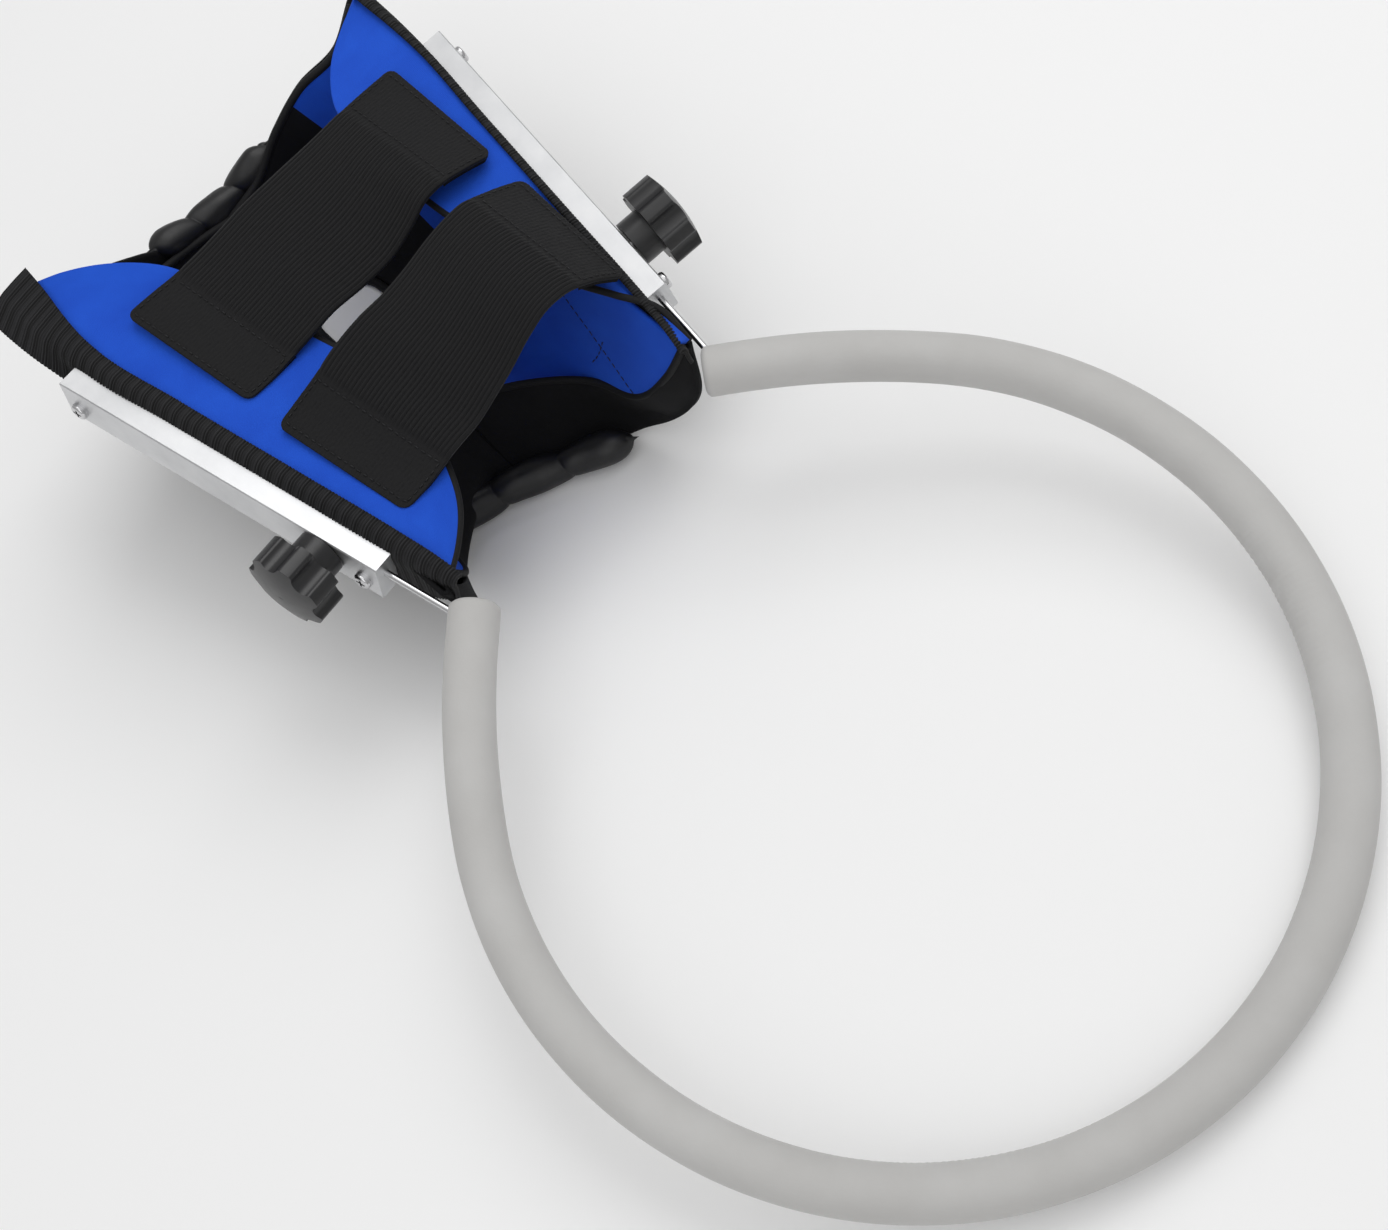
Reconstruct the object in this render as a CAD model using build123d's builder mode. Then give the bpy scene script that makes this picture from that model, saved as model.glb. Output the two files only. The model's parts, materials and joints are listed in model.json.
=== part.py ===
from build123d import *
import os
from math import cos, radians, sin, tan

# Bumper-hoop harness for a blind dog, in millimetres.
#
# The harness is drawn in its own deck frame: the deck is the plane of the hoop's steel rod, +X points
# forward from the sling to the hoop, +Y to the wearer's left, +Z up, and the origin is the hoop's centre.
# At the end every piece is tipped nose-down by REST_TILT and set on the floor, as the harness rests:
# on the underside of its sling and on the front of its foam hoop.

# ---------------------------------------------------------------- hoop
FOAM_D = 25.0          # foam sleeve, outside
ROD_D = 3.5            # spring-steel rod
FRONT_R = 194.0        # front arc of the hoop
FRONT_ARC = 125.0      # degrees, from the nose to each side
FRONT_CX = 6.5         # the front arc's centre lies this far ahead of the origin
SIDE_R = 390.0         # flatter arc behind it
SIDE_ARC = 14.5
BEND_R = 12.0          # bend from the hoop into the leg
FOAM_TAIL = 16.5       # straight foam past the bend's start
LEG_FLARE = 10.0       # the legs spread apart towards the rear
NOSE_X = FRONT_CX + FRONT_R

# ---------------------------------------------------------------- rails
RAIL_W = 12.5
RAIL_H = 25.0
RAIL_LEN = 202.0
RAIL_FRONT_X = -233.0
RAIL_ROLL = 10.0       # outer face leans up
RAIL_DROP = 2.5        # the section's middle is below the rod by this much
ROD_FIT = 0.06         # radial running clearance of the rod in its bore
ROD_INSET = 14.0       # the rod stops this far short of the rail's rear end
SCREW_INSET = 9.5      # rail screws, from each end of the rail
SCREW_R = 2.5
SCREW_DROP = 5.0       # rail screws sit below the rod
HOLE_R = 2.6
HEAD_R = 4.75          # pan head
HEAD_H = 3.4
HEAD_ROUND = 1.6
RECESS_LEN = 5.2       # cross recess in the head
RECESS_W = 1.2
RECESS_DEEP = 2.0
NUT_H = 4.0
NUT_FLAT = 4.0         # half of the width across its flats
PLATE_T = 2.0
PLATE_H = 14.0
WEB_T = 2.2

# ---------------------------------------------------------------- clamp knobs
KNOB_AT = 34.0         # from the rail's front end
KNOB_R = 22.0
KNOB_LOBES = 7
SCALLOP_R = 6.4        # hollow between two lobes
LOBE_ROUND = 2.2
HUB_R = 12.5
HUB_H = 11.5
HEAD_T = 16.0
DOME_H = 3.5
HUB_GAP = 1.0          # between hub and rail while clamped
STUD_R = 3.0
STUD_FIT = 0.05
STUD_IN = 8.0          # moulded into the knob's head by this much
PAD_T = 1.75
PAD_R = STUD_R - 0.3

# ---------------------------------------------------------------- soft parts
FLAP_Z = 9.0           # underside of the flaps, above the deck
FLAP_T = 2.5
LIP_Z = FLAP_Z + FLAP_T + 0.3
LIP_T = 1.8
STRAP_Z = LIP_Z + LIP_T + 0.4
STRAP_T = 2.5
STRAP_W = 80.0
PATCH_LEN = 31.0
SHELL_T = 3.0
LINING_T = 2.5
ROLL_R = 9.0           # padded rolls at both ends of the sling
HOLE_X = -412.0
HOLE_LEN = 84.0
LEG_HOLES = {"left": (17.0, 50.0), "right": (-34.0, 36.0)}   # middle, width: the base lies off centre
RIM_R = 2.5            # half the thickness of a leg hole's rim
RIM_FIT = 0.6
RIM_ROUND = 2.1
REST_TILT = 10.0

SPREAD = tan(radians(LEG_FLARE))
FLOOR_DROP = (FOAM_D / 2 + NOSE_X * sin(radians(REST_TILT))) / cos(radians(REST_TILT))


def floor_z(x):
    """Height of the floor under station x, in the deck frame."""
    return -FLOOR_DROP + x * tan(radians(REST_TILT))


# ---------------------------------------------------------------- hoop rod and foam
with BuildPart() as hoop_rod:
    with BuildLine() as half_rod:
        front = JernArc(start=(NOSE_X, 0), tangent=(0, 1), radius=FRONT_R, arc_size=FRONT_ARC)
        flank = JernArc(start=front @ 1, tangent=front % 1, radius=SIDE_R, arc_size=SIDE_ARC)
        turn = FRONT_ARC + SIDE_ARC + LEG_FLARE - 90
        bend = JernArc(start=flank @ 1, tangent=flank % 1, radius=BEND_R, arc_size=-turn)
        leg_reach = (bend @ 1).X - RAIL_FRONT_X + (RAIL_LEN - ROD_INSET) * cos(radians(LEG_FLARE))
        Line(bend @ 1, bend @ 1 + Vector(-leg_reach, leg_reach * SPREAD))
    with BuildSketch(Plane(origin=front @ 0, z_dir=front % 0)):
        Circle(ROD_D / 2)
    sweep(path=half_rod.line)
    mirror(about=Plane.XZ)

with BuildPart() as foam_hoop:
    with BuildLine() as half_foam:
        front_foam = JernArc(start=(NOSE_X, 0), tangent=(0, 1), radius=FRONT_R, arc_size=FRONT_ARC)
        flank_foam = JernArc(start=front_foam @ 1, tangent=front_foam % 1, radius=SIDE_R, arc_size=SIDE_ARC)
        Line(flank_foam @ 1, flank_foam @ 1 + (flank_foam % 1) * FOAM_TAIL)
    with BuildSketch(Plane(origin=front_foam @ 0, z_dir=front_foam % 0)):
        Circle(FOAM_D / 2)
    sweep(path=half_foam.line)
    mirror(about=Plane.XZ)
    add(hoop_rod.part, mode=Mode.SUBTRACT)

# ---------------------------------------------------------------- left leg: axes and planes
BEND_END = bend @ 1


def leg_y(x):
    """Sideways distance of the left leg's axis at station x."""
    return BEND_END.Y + (BEND_END.X - x) * SPREAD


FORWARD = Vector(cos(radians(LEG_FLARE)), -sin(radians(LEG_FLARE)), 0)
SIDEWAYS = Vector(sin(radians(LEG_FLARE)), cos(radians(LEG_FLARE)), 0)
OUT = SIDEWAYS * cos(radians(RAIL_ROLL)) + Vector(0, 0, sin(radians(RAIL_ROLL)))
RAIL_FRONT = Vector(RAIL_FRONT_X, leg_y(RAIL_FRONT_X), 0)

# Sections across the leg, looking forward: `upright` has +Y up, `rolled` leans with the rail.
upright = Plane(origin=RAIL_FRONT, x_dir=SIDEWAYS, z_dir=FORWARD)
rolled = Plane(origin=RAIL_FRONT, x_dir=OUT, z_dir=FORWARD)


def outward_plane(along, height, out):
    """Plane that faces out of the rail: `along` behind its front end, `height` above the rod."""
    origin = RAIL_FRONT - FORWARD * along + rolled.y_dir * height + OUT * out
    return Plane(origin=origin, x_dir=FORWARD, z_dir=OUT)


SCREW_STATIONS = (SCREW_INSET, RAIL_LEN - SCREW_INSET)
FACE_OUT = RAIL_W / 2
WEB_IN = -FACE_OUT - WEB_T
PLATE_IN = WEB_IN - PLATE_T


def screw_planes(out):
    return [outward_plane(along, -SCREW_DROP, out) for along in SCREW_STATIONS]


with BuildPart() as rail:
    with BuildSketch(rolled):
        with Locations((0, -RAIL_DROP)):
            Rectangle(RAIL_W, RAIL_H)
    extrude(amount=-RAIL_LEN)
    chamfer(rail.edges().filter_by(lambda e: abs(e.length - RAIL_LEN) < 0.01), length=0.6)
    with BuildSketch(rolled):
        Circle(ROD_D / 2 + ROD_FIT)
    extrude(amount=-RAIL_LEN, mode=Mode.SUBTRACT)
    with BuildSketch(outward_plane(KNOB_AT, 0, 0)):
        Circle(STUD_R + STUD_FIT)
    extrude(amount=FACE_OUT, mode=Mode.SUBTRACT)
    for plane in screw_planes(-FACE_OUT):
        with BuildSketch(plane):
            Circle(HOLE_R)
        extrude(amount=RAIL_W, mode=Mode.SUBTRACT)

with BuildPart() as backing_plate:
    with BuildSketch(rolled):
        with Locations((PLATE_IN + PLATE_T / 2, -SCREW_DROP)):
            Rectangle(PLATE_T, PLATE_H)
    extrude(amount=-RAIL_LEN)
    for plane in screw_planes(PLATE_IN):
        with BuildSketch(plane):
            Circle(HOLE_R)
        extrude(amount=PLATE_T, mode=Mode.SUBTRACT)

with BuildPart() as rail_screws:
    for plane in screw_planes(FACE_OUT):
        with BuildSketch(plane):
            Circle(HEAD_R)
        extrude(amount=HEAD_H)
    head_tops = rail_screws.faces().group_by(Axis(RAIL_FRONT, OUT))[-1]
    fillet(head_tops.edges(), radius=HEAD_ROUND)
    for plane in screw_planes(FACE_OUT + HEAD_H):
        with BuildSketch(plane):
            Rectangle(RECESS_LEN, RECESS_W)
            Rectangle(RECESS_W, RECESS_LEN)
        extrude(amount=-RECESS_DEEP, mode=Mode.SUBTRACT)
    for plane in screw_planes(FACE_OUT):
        with BuildSketch(plane):
            Circle(SCREW_R)
        extrude(amount=-(FACE_OUT - PLATE_IN + NUT_H + 1))

with BuildPart() as rail_nuts:
    for plane in screw_planes(PLATE_IN):
        with BuildSketch(plane):
            RegularPolygon(radius=NUT_FLAT, side_count=6, major_radius=False)
            Circle(SCREW_R, mode=Mode.SUBTRACT)
        extrude(amount=-NUT_H)

# ---------------------------------------------------------------- webbing along the rail
LIP_IN = -17.0         # inner edge of the lip that lies over the flap
WEB_DOWN = -22.0       # lower edge of the band on the rail's inner face
WEB_FRONT = 36.0       # reaches past the rail's front end
WEB_REAR = 58.0        # and past its rear end


def on_band(out, z):
    """Point of the upright section where the rolled line at `out` crosses height z."""
    height = (z - out * sin(radians(RAIL_ROLL))) / cos(radians(RAIL_ROLL))
    return out * cos(radians(RAIL_ROLL)) - height * sin(radians(RAIL_ROLL)), z


with BuildPart() as webbing:
    with BuildSketch(upright):
        with BuildLine():
            Polyline(
                on_band(-FACE_OUT, WEB_DOWN), on_band(-FACE_OUT, LIP_Z + LIP_T), (LIP_IN, LIP_Z + LIP_T),
                (LIP_IN, LIP_Z), on_band(WEB_IN, LIP_Z), on_band(WEB_IN, WEB_DOWN), close=True)
        make_face()
    extrude(amount=WEB_FRONT)
    extrude(to_extrude=webbing.faces().sort_by(Axis(RAIL_FRONT, FORWARD))[0], amount=RAIL_LEN + WEB_REAR)
    for plane in screw_planes(WEB_IN):
        with BuildSketch(plane):
            Circle(HOLE_R)
        extrude(amount=WEB_T, mode=Mode.SUBTRACT)

# ---------------------------------------------------------------- clamp: pad, stud and star knob
PAD_OUT = ROD_D / 2 + 0.1
STUD_OUT = PAD_OUT + PAD_T + 0.05
HUB_OUT = FACE_OUT + HUB_GAP
HEAD_OUT = HUB_OUT + HUB_H

with BuildPart() as clamp_pad:
    with BuildSketch(outward_plane(KNOB_AT, 0, PAD_OUT)):
        Circle(PAD_R)
    extrude(amount=PAD_T)

with BuildPart() as knob_stud:
    with BuildSketch(outward_plane(KNOB_AT, 0, STUD_OUT)):
        Circle(STUD_R)
    extrude(amount=HEAD_OUT + STUD_IN - STUD_OUT)

with BuildPart() as knob:
    with BuildSketch(outward_plane(KNOB_AT, 0, HEAD_OUT)) as star:
        Circle(KNOB_R)
        with PolarLocations(KNOB_R + LOBE_ROUND, KNOB_LOBES):
            Circle(SCALLOP_R, mode=Mode.SUBTRACT)
        fillet(star.vertices(), radius=LOBE_ROUND)
    extrude(amount=HEAD_T + DOME_H)
    dome_r = (KNOB_R ** 2 + DOME_H ** 2) / (2 * DOME_H)
    with Locations(outward_plane(KNOB_AT, 0, HEAD_OUT + HEAD_T + DOME_H - dome_r)):
        Sphere(dome_r, mode=Mode.INTERSECT)
    with BuildSketch(outward_plane(KNOB_AT, 0, HUB_OUT)):
        Circle(HUB_R)
    extrude(amount=HUB_H)
    with BuildSketch(outward_plane(KNOB_AT, 0, HUB_OUT)):
        Circle(STUD_R)
    extrude(amount=HUB_H + STUD_IN, mode=Mode.SUBTRACT)

# ---------------------------------------------------------------- flaps
# Each flap's free edge is a smooth curve; its outer edge follows the webbing.
FLAP_OUT = -11.1
FLAP_EDGES = {
    "left": [(-481, None), (-461, 94), (-443, 69), (-357, 58), (-300, 62), (-262, 72), (-228, 86), (-204, None)],
    "right": [(-488, None), (-462, 74), (-437, 56), (-345, 30), (-290, 30), (-249, 39), (-219, 55), (-203, None)],
}


def along_leg(x, out):
    """Point of the left leg's plan at station x, moved sideways by out."""
    return x, leg_y(x) + out / cos(radians(LEG_FLARE))


def flap_outline(edge):
    ends = along_leg(edge[0][0], FLAP_OUT), along_leg(edge[-1][0], FLAP_OUT)
    return [ends[0], *edge[1:-1], ends[1]]


flaps = {}
for hand, edge in FLAP_EDGES.items():
    with BuildPart() as flap:
        with BuildSketch(Plane.XY.offset(FLAP_Z)):
            with BuildLine():
                outline = flap_outline(edge)
                Spline(outline)
                Line(outline[-1], outline[0])
            make_face()
        extrude(amount=FLAP_T)
        if hand == "right":
            mirror(about=Plane.XZ, mode=Mode.REPLACE)
    flaps[hand] = flap

# ---------------------------------------------------------------- sling shell and lining
# Stations from the rear mouth to the front one: x, half-width of the base, height of the base.
SLING_STATIONS = [
    (-495.0, 42.0, -65.0),
    (-455.0, 55.0, floor_z(-455.0)),
    (-290.0, 55.0, floor_z(-290.0)),
    (-222.0, 57.0, -78.0),
]
SHELL_OUT = -15.5
FRONT_HUB = (-27.0, -108.0)    # the front edge of the base is an arc about this point, further back on the right
FRONT_ROLL_R = 253.0           # radius of the front roll's middle line, which leaves the whole front notch free
SHELL_CUT_R = FRONT_ROLL_R + 9.3
LINING_CUT_R = FRONT_ROLL_R + 30.0
WALL_SHIFT = 1.1       # sideways shift of a leaning wall for each millimetre of inset
CORNER_SHIFT = 0.8     # and of the corner where it meets the base
CUT_Z = -160.0         # below the sling
FRONT_CUT_TOP = -60.0  # the front edge is cut back below this height, the leg holes below the next one
HOLE_TOP = -100.0


def sling_points(inset):
    """Corners of the sling's hull, `inset` inside the shell's outer face."""
    points = []
    for x, base, z in SLING_STATIONS:
        top = leg_y(x) + SHELL_OUT / cos(radians(LEG_FLARE)) - WALL_SHIFT * inset
        foot = base - CORNER_SHIFT * inset
        points += [(x, top, FLAP_Z), (x, foot, z + inset), (x, -foot, z + inset), (x, -top, FLAP_Z)]
    return points


def sling_layer(inset, thickness, cut_r):
    """One layer of the sling, open at the top and both mouths, cut back at the front, with its leg holes."""
    with BuildPart() as layer:
        ConvexPolyhedron(sling_points(inset))
        ConvexPolyhedron(sling_points(inset + thickness), mode=Mode.SUBTRACT)
        with BuildSketch(Plane.XY.offset(CUT_Z)):
            with Locations(FRONT_HUB):
                Circle(cut_r)
        extrude(amount=FRONT_CUT_TOP - CUT_Z, mode=Mode.SUBTRACT)
        with BuildSketch(Plane.XY.offset(CUT_Z)):
            for middle, width in LEG_HOLES.values():
                with Locations((HOLE_X, middle)):
                    SlotOverall(HOLE_LEN, width)
        extrude(amount=HOLE_TOP - CUT_Z, mode=Mode.SUBTRACT)
    return layer


sling_shell = sling_layer(0, SHELL_T, SHELL_CUT_R)
sling_lining = sling_layer(SHELL_T, LINING_T, LINING_CUT_R)

# ---------------------------------------------------------------- padded rolls and leg-hole rims
FRONT_ROLL_ENDS = (141.0, 167.5)    # bearings of its two ends from the hub
REAR_ROLL_R = 85.0
REAR_ROLL_TURN = 64.0
REAR_ROLL_LIFT = 5.0   # above the rear edge of the base


def floor_plane(x, y, lift):
    """Plane parallel to the floor, `lift` above it, at one point of the deck's plan."""
    tilt = radians(REST_TILT)
    return Plane(origin=(x, y, floor_z(x) + lift / cos(tilt)), x_dir=(cos(tilt), 0, sin(tilt)),
                 z_dir=(-sin(tilt), 0, cos(tilt)))


with BuildPart() as front_roll:
    roll_plane = floor_plane(FRONT_HUB[0], FRONT_HUB[1], ROLL_R)
    start = radians(FRONT_ROLL_ENDS[0])
    radial = roll_plane.x_dir * cos(start) + roll_plane.y_dir * sin(start)
    with BuildSketch(Plane(origin=roll_plane.origin, x_dir=radial, z_dir=radial.cross(roll_plane.z_dir))):
        with Locations((FRONT_ROLL_R, 0)):
            Circle(ROLL_R)
    revolve(axis=Axis(roll_plane.origin, roll_plane.z_dir), revolution_arc=FRONT_ROLL_ENDS[1] - FRONT_ROLL_ENDS[0])

with BuildPart() as rear_roll:
    rear_x = SLING_STATIONS[0][0] - ROLL_R - 0.1
    rear_hub = (rear_x, 0, SLING_STATIONS[0][2] + REAR_ROLL_LIFT + REAR_ROLL_R)
    half_turn = radians(REAR_ROLL_TURN / 2)
    radial = Vector(0, -sin(half_turn), -cos(half_turn))
    with BuildSketch(Plane(origin=rear_hub, x_dir=radial, z_dir=radial.cross(Vector(1, 0, 0)))):
        with Locations((REAR_ROLL_R, 0)):
            Circle(ROLL_R)
    revolve(axis=Axis(rear_hub, (1, 0, 0)), revolution_arc=REAR_ROLL_TURN)

rims = {}
for hand, (middle, width) in LEG_HOLES.items():
    with BuildPart() as rim:
        with BuildSketch(floor_plane(HOLE_X, middle, 0)):
            SlotOverall(HOLE_LEN - RIM_FIT, width - RIM_FIT)
            SlotOverall(HOLE_LEN - RIM_FIT - 4 * RIM_R, width - RIM_FIT - 4 * RIM_R, mode=Mode.SUBTRACT)
        extrude(amount=2 * RIM_R)
        fillet(rim.edges().filter_by(lambda e: e.length > 3 * RIM_R), radius=RIM_ROUND)
    rims[hand] = rim

# ---------------------------------------------------------------- straps
# Each strap is sewn down on the right flap and closes with a hook patch on the left flap.
STRAPS = {
    "rear": {"x": -389.0, "right": -84.0, "left": 97.0, "hook_end": 96.0},
    "front": {"x": -285.0, "right": -79.0, "left": 91.0, "hook_end": 81.0},
}


def strap_plate(x, y_from, y_to, z, thickness):
    with BuildPart() as plate:
        with BuildSketch(Plane.XY.offset(z)):
            with Locations((x, (y_from + y_to) / 2)):
                Rectangle(STRAP_W, y_to - y_from)
        extrude(amount=thickness)
    return plate


strap_parts = {}
for place, strap in STRAPS.items():
    hinge_y = strap["right"] + PATCH_LEN + 1
    flap_top = FLAP_Z + FLAP_T
    strap_parts[f"strap_{place}_anchor"] = strap_plate(
        strap["x"], strap["right"], hinge_y, STRAP_Z, STRAP_T)
    strap_parts[f"strap_{place}_sewn_patch"] = strap_plate(
        strap["x"], strap["right"], strap["right"] + PATCH_LEN, flap_top, STRAP_Z - flap_top)
    strap_parts[f"strap_{place}"] = strap_plate(
        strap["x"], hinge_y + 0.3, strap["left"], STRAP_Z, STRAP_T)
    strap_parts[f"strap_{place}_hook_patch"] = strap_plate(
        strap["x"], strap["left"] - PATCH_LEN, strap["hook_end"], flap_top + 0.3, STRAP_Z - flap_top - 0.3)

# ---------------------------------------------------------------- set down and write
single = {
    "foam_hoop": foam_hoop, "hoop_rod": hoop_rod,
    "sling_shell": sling_shell, "sling_lining": sling_lining,
    "front_roll": front_roll, "rear_roll": rear_roll,
    "flap_left": flaps["left"], "flap_right": flaps["right"],
    "leg_rim_left": rims["left"], "leg_rim_right": rims["right"],
    **strap_parts,
}
paired = {
    "rail": rail, "backing_plate": backing_plate, "rail_screws": rail_screws, "rail_nuts": rail_nuts,
    "webbing": webbing, "clamp_pad": clamp_pad, "knob_stud": knob_stud, "star_knob": knob,
}
pieces = {name: builder.part for name, builder in single.items()}
for name, left in paired.items():
    with BuildPart() as right:
        mirror(left.part, about=Plane.XZ)
    pieces[f"{name}_left"] = left.part
    pieces[f"{name}_right"] = right.part

# The origin is the middle of the base of the whole harness's box.
rest = Location((0, 0, 0), (0, REST_TILT, 0))
boxes = [piece.moved(rest).bounding_box() for piece in pieces.values()]
low_x = min(box.min.X for box in boxes)
high_x = max(box.max.X for box in boxes)
low_z = min(box.min.Z for box in boxes)
rest = Location((-(low_x + high_x) / 2, 0, -low_z)) * rest
print("deck origin in the row frame:", rest.position, "tilt", REST_TILT)

os.makedirs("parts", exist_ok=True)
for name, piece in pieces.items():
    piece.move(rest)
    piece.label = name
    export_step(piece, f"parts/{name}.step")
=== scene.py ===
import json
import math

import bmesh
import bpy
import numpy as np
from mathutils import Matrix, Vector, noise


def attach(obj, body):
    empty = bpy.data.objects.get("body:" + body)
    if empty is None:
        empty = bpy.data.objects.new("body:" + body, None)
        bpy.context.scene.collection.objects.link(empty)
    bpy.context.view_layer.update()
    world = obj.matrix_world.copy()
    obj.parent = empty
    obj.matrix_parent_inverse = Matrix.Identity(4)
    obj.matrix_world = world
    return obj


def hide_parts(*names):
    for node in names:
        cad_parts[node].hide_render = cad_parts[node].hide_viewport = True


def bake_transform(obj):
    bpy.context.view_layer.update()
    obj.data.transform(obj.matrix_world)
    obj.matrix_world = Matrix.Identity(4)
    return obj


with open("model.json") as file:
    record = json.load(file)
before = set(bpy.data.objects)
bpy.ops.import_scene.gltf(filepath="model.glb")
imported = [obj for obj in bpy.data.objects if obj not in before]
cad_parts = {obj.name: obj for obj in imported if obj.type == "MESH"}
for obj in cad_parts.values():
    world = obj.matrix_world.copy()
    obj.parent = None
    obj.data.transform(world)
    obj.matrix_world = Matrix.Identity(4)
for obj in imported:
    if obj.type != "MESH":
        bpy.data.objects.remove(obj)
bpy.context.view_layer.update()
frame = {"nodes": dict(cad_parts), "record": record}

# ---------------------------------------------------------------- the deck frame
# Shapes are worked out in millimetres in the deck frame that the CAD is drawn in: the rod's plane is
# z = 0, +X runs from the sling to the hoop, +Y to the wearer's left, and the origin is the hoop's centre.
JOINTS = {j["name"]: j for j in frame["record"]["behaviour"]["joints"]}
TILT = math.asin(JOINTS["hoop_reach"]["axis"][2])
KNOB = (-266.4835, 102.3962)       # where the left knob's axis meets the leg's
FLARE = math.radians(10)
TURN = Matrix.Rotation(TILT, 4, "Y")
ORIGIN = Vector(JOINTS["knob_left_turn"]["pos_m"]) - TURN @ Vector((KNOB[0], KNOB[1], 0)) / 1000
DECK = Matrix.Translation(ORIGIN) @ TURN @ Matrix.Scale(0.001, 4)
DECK_NP = np.array(DECK)


def leg_y(x):
    """Sideways distance of the left leg's axis at station x."""
    return KNOB[1] + (KNOB[0] - x) * math.tan(FLARE)


def floor_z(x):
    """Height of the floor in the deck frame at station x."""
    low = ORIGIN.z * 1000
    return (x * math.sin(TILT) - low) / math.cos(TILT)


# ---------------------------------------------------------------- curves and meshes
FLOOR_GAP = 0.0003                 # metres; soft pieces flatten here instead of going through the floor


def spline(points, count):
    """A smooth curve through the points, sampled evenly by its parameter."""
    p = np.array(points, float)
    step = np.linalg.norm(np.diff(p, axis=0), axis=1)
    step = np.maximum(step, 1e-9)
    t = np.r_[0, np.cumsum(step)]
    slope = np.diff(p, axis=0) / step[:, None]
    m = np.empty_like(p)
    m[0], m[-1] = slope[0], slope[-1]
    if len(p) > 2:
        a, b = step[:-1, None], step[1:, None]
        m[1:-1] = (slope[1:] * a + slope[:-1] * b) / (a + b)
    s = np.linspace(0, t[-1], count)
    i = np.clip(np.searchsorted(t, s, side="right") - 1, 0, len(step) - 1)
    h = step[i][:, None]
    u = ((s - t[i]) / step[i])[:, None]
    return ((2 * u**3 - 3 * u**2 + 1) * p[i] + (u**3 - 2 * u**2 + u) * h * m[i]
            + (-2 * u**3 + 3 * u**2) * p[i + 1] + (u**3 - u**2) * h * m[i + 1])


def net(rows, nu, nv):
    """A grid of nu by nv points on the smooth surface through rows of control points."""
    across = np.array([spline(r, nv) for r in rows])
    return np.stack([spline(across[:, j], nu) for j in range(nv)], axis=1)


def normals(grid):
    du = np.gradient(grid, axis=0)
    dv = np.gradient(grid, axis=1)
    n = np.cross(du, dv)
    return n / np.maximum(np.linalg.norm(n, axis=2, keepdims=True), 1e-9)


def mesh_object(name, verts, faces, uvs=None, smooth=True, on_floor=True):
    """Object from deck-frame points in millimetres. uvs holds one pair per vertex, in millimetres."""
    v = np.c_[np.asarray(verts, float), np.ones(len(verts))] @ DECK_NP.T
    if on_floor:
        v[:, 2] = np.maximum(v[:, 2], FLOOR_GAP)
    mesh = bpy.data.meshes.new(name)
    mesh.from_pydata([tuple(p) for p in v[:, :3]], [], [tuple(int(k) for k in f) for f in faces])
    if smooth:
        mesh.polygons.foreach_set("use_smooth", [True] * len(mesh.polygons))
    if uvs is not None:
        layer = mesh.uv_layers.new(name="uv")
        loops = np.zeros(len(mesh.loops), np.int64)
        mesh.loops.foreach_get("vertex_index", loops)
        layer.data.foreach_set("uv", (np.asarray(uvs, float) / 100)[loops].ravel())
    mesh.update()
    obj = bpy.data.objects.new(name, mesh)
    bpy.context.scene.collection.objects.link(obj)
    return obj


def grid_uv(grid):
    """Arc length along both directions of a grid, measured from its first corner."""
    u = np.r_[0, np.cumsum(np.linalg.norm(np.diff(grid, axis=0), axis=2).mean(axis=1))]
    v = np.r_[0, np.cumsum(np.linalg.norm(np.diff(grid, axis=1), axis=2).mean(axis=0))]
    return np.stack(np.meshgrid(u, v, indexing="ij"), axis=2)


def grid_faces(nu, nv, base=0, flip=False):
    i, j = np.meshgrid(np.arange(nu - 1), np.arange(nv - 1), indexing="ij")
    a = (base + i * nv + j).ravel()
    quads = np.stack([a, a + nv, a + nv + 1, a + 1], axis=1)
    return quads[:, ::-1] if flip else quads


def slab(name, top, bottom, uv=None):
    """Closed sheet between two grids of the same size."""
    nu, nv = top.shape[:2]
    count = nu * nv
    verts = np.r_[top.reshape(-1, 3), bottom.reshape(-1, 3)]
    ring = [i * nv for i in range(nu)]
    ring += [(nu - 1) * nv + j for j in range(1, nv)]
    ring += [i * nv + nv - 1 for i in range(nu - 2, -1, -1)]
    ring += [j for j in range(nv - 2, 0, -1)]
    rim = [(ring[k], ring[k - 1], ring[k - 1] + count, ring[k] + count) for k in range(len(ring))]
    faces = [*grid_faces(nu, nv), *grid_faces(nu, nv, count, flip=True), *rim]
    if uv is None:
        uv = grid_uv(top)
    flat = uv.reshape(-1, 2)
    return mesh_object(name, verts, faces, np.r_[flat, flat])


def thick_sheet(name, grid, thickness, side=0.0, uv=None):
    """Closed sheet about a grid. side is 1 to lay all of its thickness along the normal, -1 behind it."""
    n = normals(grid)
    up, down = (1 + side) / 2, (1 - side) / 2
    return slab(name, grid + n * thickness * up, grid - n * thickness * down, uv)


def frames_along(path, up=(0, 0, 1)):
    """Two unit vectors across a path at each point, carried along without twisting."""
    path = np.asarray(path, float)
    tangent = np.gradient(path, axis=0)
    tangent /= np.maximum(np.linalg.norm(tangent, axis=1, keepdims=True), 1e-9)
    a = np.cross(tangent[0], up)
    if np.linalg.norm(a) < 1e-3:
        a = np.cross(tangent[0], (0, 1, 0))
    first = []
    for t in tangent:
        a = a - t * a.dot(t)
        a = a / np.linalg.norm(a)
        first.append(a)
    first = np.array(first)
    return tangent, first, np.cross(tangent, first)


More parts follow.
